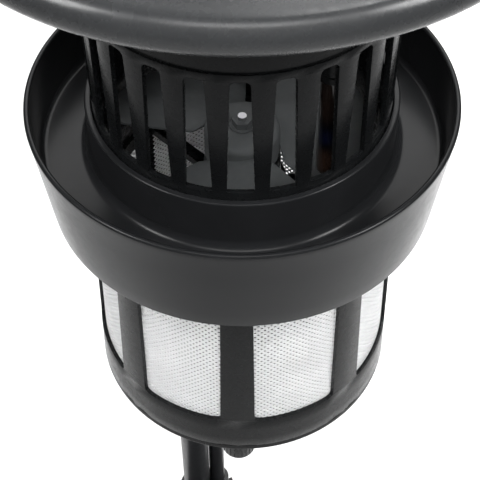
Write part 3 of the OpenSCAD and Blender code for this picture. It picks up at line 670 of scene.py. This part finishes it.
def lampCap(name, centre):
    r, top, foot, edge = lampBase["radius"], lampBase["top"], lamp["neck"], lampBase["edge"]
    flange, flangeTop = r + lampBase["flange"], foot + lampBase["flangeHeight"]
    cap = [(0, foot), (flange - edge, foot), (flange, foot + edge), (flange, flangeTop - edge),
           (flange - edge, flangeTop), (r, flangeTop), (r, foot + lampBase["plain"])]
    depth, width = lampBase["grooveDepth"], lampBase["grooveWidth"]
    for k in range(lampBase["grooves"]):
        h = foot + lampBase["firstGroove"] + lampBase["grooveStep"] * k
        cap += [(r, h), (r - depth, h + depth), (r - depth, h + width - depth), (r, h + width)]
    cap += [(r, top - edge), (r - edge, top), (0, top)]
    return turned("lampBase_" + name, onRim(cap), lamp["segments"], closed=False, centre=centre)


for side, (lampX, lampY) in lamp["places"].items():
    lampCentre = (lampX * mm, lampY * mm)
    finished(lampTube(side, lampCentre), "trap", "lamp_glass", materials["lampGlass"], "uv_lamp_" + side)
    finished(lampCap(side, lampCentre), "trap", "black_plastic", materials["satinBlack"], "lamp_base_" + side)
print("lamps done")

basket = {"top": -70, "topRadius": 108.5, "foot": -261, "footRadius": 115, "seam": -255.6, "wall": 3,
          "turn": -2.3, "windows": 8, "windowWidth": 63, "windowFoot": -222.6, "windowHead": -104,
          "round": 4, "edge": 0.6, "rowsBelow": (-246, -234), "rowsAbove": (-92, -80)}


def basketAt(h):
    share = (basket["top"] - h) / (basket["top"] - basket["foot"])
    return basket["topRadius"] + (basket["footRadius"] - basket["topRadius"]) * share


pocket = {"radius": 113.4, "head": -240, "halfAngle": 10}


def pawlPocket(shell):
    # the wall is thinner inside the front rib, where the pawl swings home
    for vert in shell.data.vertices:
        h = (vert.co.z - rimZ) / mm
        r = math.hypot(vert.co.x, vert.co.y) / mm
        off = math.degrees(math.atan2(vert.co.y, vert.co.x)) + 90 - basket["turn"]
        inner = r < basketAt(h) - basket["wall"] / 2
        if inner and h < pocket["head"] and abs(off) < pocket["halfAngle"]:
            vert.co.x *= pocket["radius"] / r
            vert.co.y *= pocket["radius"] / r


def basketShell():
    half, r = basket["windowWidth"] / 2, basket["round"]
    low, high = basket["windowFoot"], basket["windowHead"]
    rows = [(h, w) for w, h in arc(half - r, low + r, r, -90, 0, 6)]
    straight = 8
    rows += [(low + r + (high - low - 2 * r) * i / straight, half) for i in range(1, straight)]
    rows += [(h, w) for w, h in arc(half - r, high - r, r, 0, 90, 6)]
    below = [basket["seam"], *basket["rowsBelow"]]
    above = [*basket["rowsAbove"], basket["top"]]
    panel = piercedPanel("basketShell", basketAt, math.pi / basket["windows"], below, rows, above, 10)
    ringOf(panel, basket["windows"], basket["turn"] - 90 + 180 / basket["windows"], "satinBlack", seamWeld)
    walled(panel, basket["wall"])
    pawlPocket(panel)
    return bevelled(panel, basket["edge"], 2, 40)


hinge = {"y": 120, "height": -256.5, "radius": 4.2, "width": 9, "places": (-15, 15), "armFace": 3.4,
         "armBack": 8, "armFoot": 6, "armHead": 14, "edge": 0.4}


def knucklePiece(x):
    # barrel with its arm running up the basket wall
    y, h, r = hinge["y"], hinge["height"], hinge["radius"]
    face, back, head = y - hinge["armFace"], y - hinge["armBack"], h + hinge["armHead"]
    outline = arc(y, h, r, -180, 60, 16)
    outline += [(face, h + hinge["armFoot"]), (face, head), (back, head), (back, h)]
    verts = []
    for side in (-1, 1):
        for py, pz in outline:
            verts.append(((x + side * hinge["width"] / 2) * mm, py * mm, rimZ + pz * mm))
    count = len(outline)
    faces = [tuple(range(count)), tuple(range(2 * count - 1, count - 1, -1))]
    for i in range(count):
        j = (i + 1) % count
        faces.append((i, i + count, j + count, j))
    knuckle = faceOut(newPiece("knuckle", verts, faces))
    return moved(bevelled(knuckle, hinge["edge"], 2, 50), turnedBy(basket["turn"]))


lip = {"inner": 100.4, "outer": 107, "foot": -89.95, "head": -85.95, "edge": 0.5, "count": 3,
       "turn": 130, "sweep": 92, "segments": 48}


def basketLip():
    # three lips that hang on the housing's lugs
    inner, outer, foot, head, edge = (lip[key] for key in ("inner", "outer", "foot", "head", "edge"))
    profile = [(inner, foot), (outer, foot), (outer, head), (inner + edge, head), (inner, head - edge)]
    piece = turned("basketLip", onRim(profile), lip["segments"], sweep=lip["sweep"])
    return ringOf(piece, lip["count"], lip["turn"], "satinBlack")


basketPieces = [basketShell(), basketLip()] + [knucklePiece(x) for x in hinge["places"]]
basketFrame = joined("basketFrame", basketPieces)
finished(basketFrame, "basket", "black_plastic", materials["satinBlack"], "basket_frame")

panelMesh = {"pitch": 4.7, "hole": 1.05, "thick": 0.8, "columns": 17, "rows": 29, "bendRadius": 110,
             "gap": 0.05, "footMargin": 8, "headMargin": 6}


def meshCell():
    # a diamond of sheet round one eight-sided hole
    half = panelMesh["pitch"] / 2
    verts, faces = [], []
    for k in range(8):
        a = math.radians(45 * k)
        reach = half if k % 2 == 0 else half / math.sqrt(2)
        verts.append((reach * math.cos(a) * mm, 0, reach * math.sin(a) * mm))
        verts.append((panelMesh["hole"] * math.cos(a) * mm, 0, panelMesh["hole"] * math.sin(a) * mm))
    for k in range(8):
        n = (k + 1) % 8
        faces.append((2 * k, 2 * n, 2 * n + 1, 2 * k + 1))
    return newPiece("meshCell", verts, faces)


def meshPanels():
    flat = grown(meshCell(), lattice, Columns=panelMesh["columns"], Rows=panelMesh["rows"],
                 Pitch=panelMesh["pitch"] * mm, Material=materials["meshSilver"])
    foot = basket["windowFoot"] - panelMesh["footMargin"]
    middle = (foot + basket["windowHead"] + panelMesh["headMargin"]) / 2
    first = basket["turn"] - 90 + 180 / basket["windows"]
    for i in range(basket["windows"]):
        panel = bpy.data.objects.new("meshPanel_%d" % (i + 1), flat.data.copy())
        scene.collection.objects.link(panel)
        for vert in panel.data.vertices:
            h = vert.co.z / mm + middle
            r = basketAt(h) - basket["wall"] - panelMesh["gap"]
            a = math.radians(first + 360 * i / basket["windows"]) + vert.co.x / mm / panelMesh["bendRadius"]
            vert.co = (r * mm * math.cos(a), r * mm * math.sin(a), rimZ + h * mm)
        walled(panel, panelMesh["thick"])
        soften(panel, 40)
        finished(panel, "basket", "mesh_silver", materials["meshSilver"], "basket_mesh")
    bpy.data.objects.remove(flat)


meshPanels()
print("basket done")

knob = {"radius": 13.4, "y": -97.6, "foot": -284, "head": -261.4, "sideTop": 5.4, "footRound": 2,
        "shoulder": 3.6, "shoulderDrop": 4.6, "dish": 0.8, "dishRim": 5, "dishSlope": 0.6, "shaft": 3.5,
        "shaftTop": -248.1, "segments": 72}
ridge = {"count": 24, "height": 0.5, "flank": 0.3, "root": 0.4, "halfWidth": 0.75, "halfCrest": 0.5,
         "footGap": 2.4, "headGap": 5.6}


def knobPiece():
    r, foot, head, fillet = knob["radius"] - ridge["height"], knob["foot"], knob["head"], knob["footRound"]
    dishRim = r - knob["dishRim"]
    profile = [(0, foot + knob["dish"]), (dishRim, foot + knob["dish"]), (dishRim + knob["dishSlope"], foot)]
    profile += arc(r - fillet, foot + fillet, fillet, -90, 0, 5)
    profile += [(r, head - knob["sideTop"])]
    profile += arc(r - knob["shoulder"], head - knob["shoulderDrop"], knob["shoulder"], 0, 75, 6)
    profile += [(knob["shaft"], head), (knob["shaft"], knob["shaftTop"]), (0, knob["shaftTop"])]
    body = turned("knobBody", onRim(profile), knob["segments"], closed=False)
    root, flank, crest = r - ridge["root"], r + ridge["flank"], r + ridge["height"]
    wide, narrow = ridge["halfWidth"], ridge["halfCrest"]
    section = ((root, -wide), (flank, -narrow), (crest, 0), (flank, narrow), (root, wide))
    verts = []
    for h in (foot + ridge["footGap"], head - ridge["headGap"]):
        for x, y in section:
            verts.append((x * mm, y * mm, rimZ + h * mm))
    faces = [(4, 3, 2, 1, 0), (5, 6, 7, 8, 9)]
    faces += [(i, i + 1, i + 6, i + 5) for i in range(4)] + [(4, 0, 5, 9)]
    ridges = faceOut(newPiece("ridges", verts, faces))
    ringOf(ridges, ridge["count"], 0, "satinBlack")
    whole = joined("latchKnob", [body, ridges])
    moved(whole, turnedBy(basket["turn"]) @ Matrix.Translation((0, knob["y"] * mm, 0)))
    return whole


finished(knobPiece(), "latch", "black_plastic", materials["satinBlack"], "latch_knob")
print("knob done")

stand = {"turn": 22.9, "reach": 152, "poleRadius": 16, "poleWall": 2, "conduitX": 27.1,
         "conduitRadius": 9.5, "conduitWall": 1.5, "foot": 22, "head": 800, "rows": (200, 400, 600),
         "edge": 0.5, "segments": 72}


def tubePiece(name, x, r, wall):
    a = math.radians(stand["turn"])
    y = stand["reach"]
    centre = ((x * math.cos(a) - y * math.sin(a)) * mm, (x * math.sin(a) + y * math.cos(a)) * mm)
    low, high, edge = stand["foot"], stand["head"], stand["edge"]
    profile = [(r - wall, low), (r, low)]
    profile += [(r, z) for z in stand["rows"]]
    profile += arc(r - edge, high - edge, edge, 0, 90, 3)
    profile += [(r - wall, high)]
    return turned(name, onGround(profile), stand["segments"], centre=centre)


poleTube = tubePiece("poleTube", 0, stand["poleRadius"], stand["poleWall"])
finished(poleTube, "trap", "pole_paint", materials["polePaint"], "pole")
conduitTube = tubePiece("conduitTube", stand["conduitX"], stand["conduitRadius"], stand["conduitWall"])
finished(conduitTube, "trap", "pole_paint", materials["polePaint"], "cable_conduit")
print("stand done")


studio = {"floorSize": 16, "floorColor": (0.9, 0.9, 0.9), "worldLight": 0.14}


def floorPiece():
    half = studio["floorSize"] / 2
    floor = newPiece("studioFloor", [(-half, -half, 0), (half, -half, 0), (half, half, 0), (-half, half, 0)],
                     [(0, 1, 2, 3)])
    mat = bpy.data.materials.new("floorPaper")
    mat.use_nodes = True
    shader = mat.node_tree.nodes["Principled BSDF"]
    shader.inputs["Base Color"].default_value = (*studio["floorColor"], 1)
    shader.inputs["Roughness"].default_value = 0.9
    floor.data.materials.append(mat)


floorPiece()

world = bpy.data.worlds.new("studioWorld")
scene.world = world
world.use_nodes = True
world.node_tree.nodes["Background"].inputs["Color"].default_value = (1, 1, 1, 1)
world.node_tree.nodes["Background"].inputs["Strength"].default_value = studio["worldLight"]

softboxes = [
    {"name": "floorBox", "at": (0.5, 1.15, 2.9), "aim": (0.3, 0.85, 0),
     "size": (1.0, 0.9), "power": 11, "spread": 56},
    {"name": "rightBox", "at": (1.45, -0.6, 2.45), "aim": (0, 0, 1.0),
     "size": (0.6, 0.9), "power": 18, "spread": 150},
    {"name": "leftBox", "at": (-1.45, -0.6, 2.45), "aim": (0, 0, 1.0),
     "size": (0.6, 0.9), "power": 14, "spread": 150},
    {"name": "topBox", "at": (0, -1.0, 2.9), "aim": (0, 0, 1.0),
     "size": (1.4, 0.5), "power": 7, "spread": 150},
    {"name": "backBox", "at": (0.2, 2.4, 2.9), "aim": (0, 0, 0.9),
     "size": (3.0, 1.8), "power": 17, "spread": 120},
    {"name": "fillBox", "at": (0.15, -1.1, 2.1), "aim": (0, 0.05, 0.8),
     "size": (0.8, 0.5), "power": 1.5, "spread": 40, "glossy": False},
]
for box in softboxes:
    data = bpy.data.lights.new(box["name"], "AREA")
    data.shape = "RECTANGLE"
    data.size, data.size_y = box["size"]
    data.energy = box["power"]
    data.spread = math.radians(box["spread"])
    lampObject = bpy.data.objects.new(box["name"], data)
    lampObject.location = box["at"]
    aim = Vector(box["aim"]) - Vector(box["at"])
    lampObject.rotation_euler = aim.to_track_quat("-Z", "Y").to_euler()
    lampObject.visible_glossy = box.get("glossy", True)  # the fill leaves no highlight of its own
    scene.collection.objects.link(lampObject)

camera = {"at": (0, -0.5527, 1.4004), "down": 49.97, "yaw": -0.22, "roll": -0.45, "lens": 85.3,
          "sensor": 36, "nearClip": 0.01}


def cameraObject():
    data = bpy.data.cameras.new("studioCamera")
    data.lens = camera["lens"]
    data.sensor_width = camera["sensor"]
    data.clip_start = camera["nearClip"]
    pitch, yaw, roll = (math.radians(camera[k]) for k in ("down", "yaw", "roll"))
    forward = Vector((math.sin(yaw) * math.cos(pitch), math.cos(yaw) * math.cos(pitch), -math.sin(pitch)))
    side = Vector((math.cos(yaw), -math.sin(yaw), 0))
    over = side.cross(forward)
    right = side * math.cos(roll) + over * math.sin(roll)
    up = over * math.cos(roll) - side * math.sin(roll)
    view = Matrix((right, up, -forward)).transposed().to_4x4()
    view.translation = Vector(camera["at"])
    made = bpy.data.objects.new("studioCamera", data)
    made.matrix_world = view
    scene.collection.objects.link(made)
    scene.camera = made


cameraObject()
scene.view_settings.view_transform = "Standard"
print("studio done")
